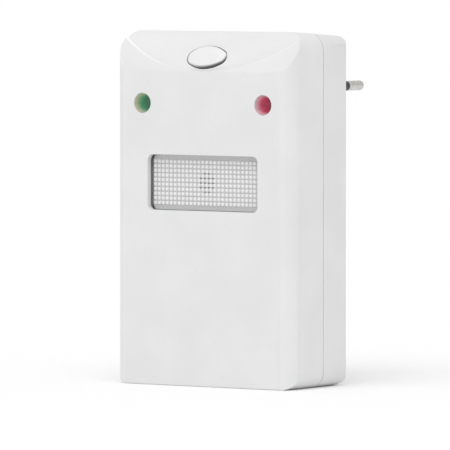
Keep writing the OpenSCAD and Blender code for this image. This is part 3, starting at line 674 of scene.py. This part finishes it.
def corner_shade(u, v, x, z, sensor_r):
    """How dark the prisms' corners are painted at x, z: in front of the sensor and down the last
    column. It stands for what real prisms would show there, and doesn't come from the light."""
    near = 1 - (math.hypot(x, z) - sensor_r) / SHADE_REACH
    last_column = x > (PRISM_COLUMNS / 2 - 0.4) * PRISM_PITCH[0]
    inner_rows = abs(z) < (PRISM_ROWS / 2 - 0.5) * PRISM_PITCH[1]
    if last_column and inner_rows:
        near = LAST_COLUMN_SHADE
    at_corner = (abs(u * v) - CORNER_START) / CORNER_SPAN
    return max(0, min(1, near)) * max(0, min(1, at_corner))


def rounded_loop(work, half_x, half_z, y):
    """A closed ring of vertices round a rectangle with rounded corners that faces -Y."""
    radius = LENS_CORNER_R
    ring = []
    for corner_x, corner_z, start in ((1, 1, 0), (-1, 1, 90), (-1, -1, 180), (1, -1, 270)):
        for i in range(LENS_CORNER_STEPS + 1):
            turn = math.radians(start + 90 * i / LENS_CORNER_STEPS)
            ring.append(work.verts.new((corner_x * (half_x - radius) + radius * math.cos(turn), y,
                                        corner_z * (half_z - radius) + radius * math.sin(turn))))
    return ring


def ring_edges(work, ring):
    return [work.edges.get((a, b)) or work.edges.new((a, b))
            for a, b in zip(ring, ring[1:] + ring[:1])]


def prism_sheet(work, y):
    """The prisms' surface. Returns its border as one ring."""
    crown = work.verts.layers.float.new("prism")
    shade = work.verts.layers.float.new("shade")
    sensor_low, sensor_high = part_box("light_sensor")
    sensor_r = (sensor_high.x - sensor_low.x) / 2
    across = PRISM_COLUMNS * PRISM_STEPS
    up = PRISM_ROWS * PRISM_STEPS
    grid = []
    for row in range(up + 1):
        v = (row % PRISM_STEPS) / PRISM_STEPS * 2 - 1
        line = []
        for column in range(across + 1):
            u = (column % PRISM_STEPS) / PRISM_STEPS * 2 - 1
            x = (column / PRISM_STEPS - PRISM_COLUMNS / 2) * PRISM_PITCH[0]
            z = (row / PRISM_STEPS - PRISM_ROWS / 2) * PRISM_PITCH[1]
            point = work.verts.new((x, y - PRISM_HEIGHT * pillow(u, v), z))
            point[crown] = pillow(u, v)
            point[shade] = corner_shade(u, v, x, z, sensor_r)
            line.append(point)
        grid.append(line)
    for low, high in zip(grid, grid[1:]):
        for i in range(across):
            work.faces.new((low[i], low[i + 1], high[i + 1], high[i]))
    return (grid[0] + [line[-1] for line in grid[1:]] + grid[-1][-2::-1]
            + [line[0] for line in grid[-2:0:-1]])


def add_window_lens():
    """The plate with its prisms and margin, and the flange behind it that lies against the shell."""
    low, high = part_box("window_lens")
    middle = (low + high) / 2
    half_x = (high.x - low.x) / 2
    flange_front = high.y - LENS_FLANGE_THICK
    half_z = (high.z - low.z) / 2 - LENS_FLANGE
    work = bmesh.new()
    border = prism_sheet(work, low.y)
    outline = rounded_loop(work, half_x, half_z, low.y)
    # This fill isn't clean: it leaves a stray sliver and 17 open edges along the prisms' lower left
    # edge, and some triangles with no area.
    bmesh.ops.triangle_fill(work, edges=ring_edges(work, border) + ring_edges(work, outline),
                            normal=(0, -1, 0))
    step = rounded_loop(work, half_x, half_z, flange_front)
    rim = rounded_loop(work, half_x, half_z + LENS_FLANGE, flange_front)
    back = rounded_loop(work, half_x, half_z + LENS_FLANGE, high.y)
    for first, second in ((outline, step), (step, rim), (rim, back)):
        bridge(work, first, second)
    work.faces.new(back)
    bmesh.ops.recalc_face_normals(work, faces=work.faces)
    mesh = bpy.data.meshes.new("prism_lens")
    work.to_mesh(mesh)
    work.free()
    mesh.transform(Matrix.Translation((middle.x, 0, middle.z)))
    smooth_with_creases(mesh, LENS_CREASE)
    new_piece("prism_lens", mesh, "window_lens")


add_camera()
add_studio()
add_window_lens()
add_indicator_lens("green_lens")
add_indicator_lens("red_lens")
add_button()
for node in ("front_shell", "back_cover"):
    rounded_copy(node, width=0.25 * MM)

# Every CAD node shows its slot's material
for node, slot in SLOT_OF.items():
    materials = frame["nodes"][node].data.materials
    materials.clear()
    materials.append(MATERIALS[slot])
